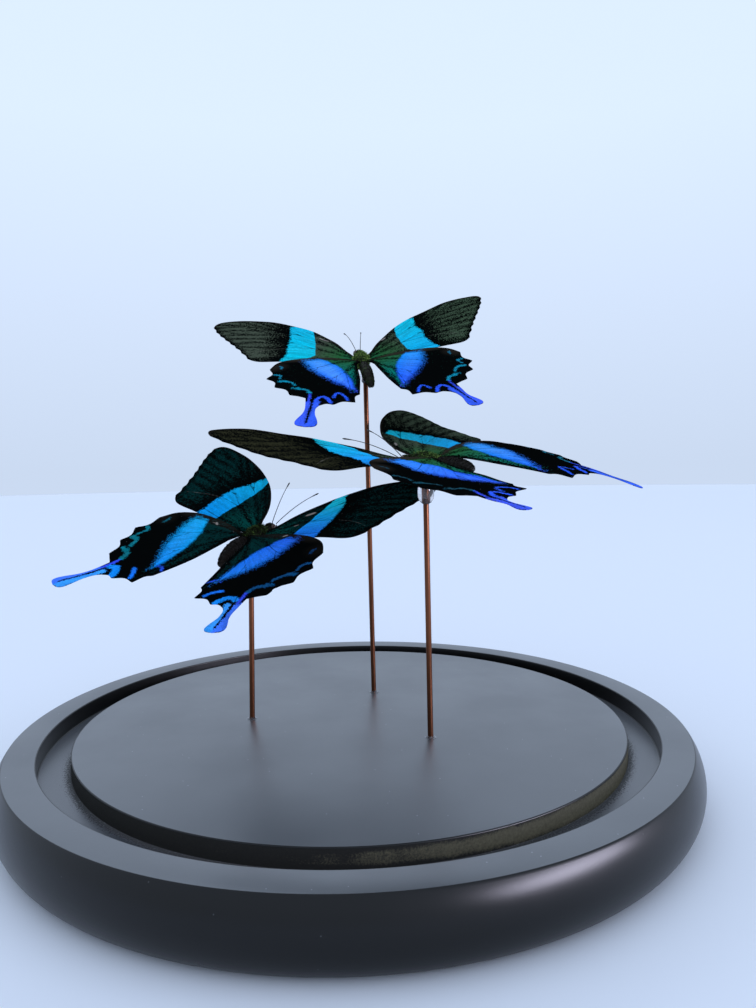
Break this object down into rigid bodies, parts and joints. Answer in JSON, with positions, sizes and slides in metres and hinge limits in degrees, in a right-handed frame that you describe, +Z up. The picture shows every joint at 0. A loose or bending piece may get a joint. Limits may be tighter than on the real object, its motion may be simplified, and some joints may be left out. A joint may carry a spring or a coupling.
{
  "type": "mounted butterflies on a dome base",
  "caption": "Dried swallowtail butterflies on copper rods over a turned black base with a dome groove.",
  "frame": {"origin": "centre of the base's underside, on the surface it stands on", "axes": "+Z up, along the base's axis; -Y towards the viewer that the display faces; +X to that viewer's right"},
  "size_m": [0.25, 0.25, 0.1956],
  "materials": {
    "black_paint": "satin black paint on turned MDF",
    "copper": "bare drawn copper wire",
    "clear_glue": "clear hot glue",
    "forewing_scales": "black wing dusted with green, with a turquoise band",
    "hindwing_scales": "black wing with a blue patch, lunules and tail",
    "hairy_body": "dark chitin under green-brown hair"
  },
  "bodies": {
    "root": {"base": "black_paint", "left_rod": "copper", "left_glue_drop": "clear_glue", "left_body": "hairy_body", "left_left_forewing": "forewing_scales", "left_left_hindwing": "hindwing_scales", "left_left_antenna": "hairy_body", "left_right_forewing": "forewing_scales", "left_right_hindwing": "hindwing_scales", "left_right_antenna": "hairy_body", "back_rod": "copper", "back_glue_drop": "clear_glue", "back_body": "hairy_body", "back_left_forewing": "forewing_scales", "back_left_hindwing": "hindwing_scales", "back_left_antenna": "hairy_body", "back_right_forewing": "forewing_scales", "back_right_hindwing": "hindwing_scales", "back_right_antenna": "hairy_body", "right_rod": "copper", "right_glue_drop": "clear_glue", "right_body": "hairy_body", "right_left_forewing": "forewing_scales", "right_left_hindwing": "hindwing_scales", "right_left_antenna": "hairy_body", "right_right_forewing": "forewing_scales", "right_right_hindwing": "hindwing_scales", "right_right_antenna": "hairy_body"}
  },
  "joints": []
}
